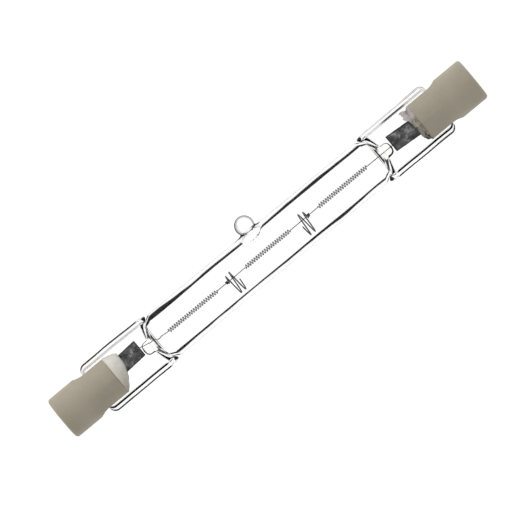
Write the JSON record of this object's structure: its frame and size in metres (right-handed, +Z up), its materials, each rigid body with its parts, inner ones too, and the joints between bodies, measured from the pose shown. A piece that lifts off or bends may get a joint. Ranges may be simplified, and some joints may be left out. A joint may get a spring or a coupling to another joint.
{
  "type": "linear halogen lamp",
  "caption": "Double-ended linear halogen lamp: clear quartz tube with flat pinched ends, coiled filament on wire supports, side exhaust tip and slotted ceramic caps with recessed contacts.",
  "frame": {"origin": "middle of the lamp's footprint, on the surface that it lies on", "axes": "+X along the lamp, +Y towards the side that the exhaust tip leans to, +Z up from the surface"},
  "size_m": [0.1176, 0.015, 0.0116],
  "materials": {
    "quartz": "clear, polished",
    "tungsten": "dark drawn wire",
    "molybdenum": "dull rolled foil and wire",
    "contact_metal": "satin nickel",
    "steatite": "matt, unglazed",
    "cement": "matt, rough"
  },
  "bodies": {
    "root": {"quartz_envelope": "quartz", "filament": "tungsten", "filament_support_left": "tungsten", "filament_support_right": "tungsten", "seal_foil_left": "molybdenum", "seal_foil_right": "molybdenum", "outer_lead_left": "molybdenum", "outer_lead_right": "molybdenum", "end_contact_left": "contact_metal", "end_contact_right": "contact_metal", "ceramic_cap_left": "steatite", "ceramic_cap_right": "steatite", "cement_left": "cement", "cement_right": "cement"}
  },
  "joints": []
}
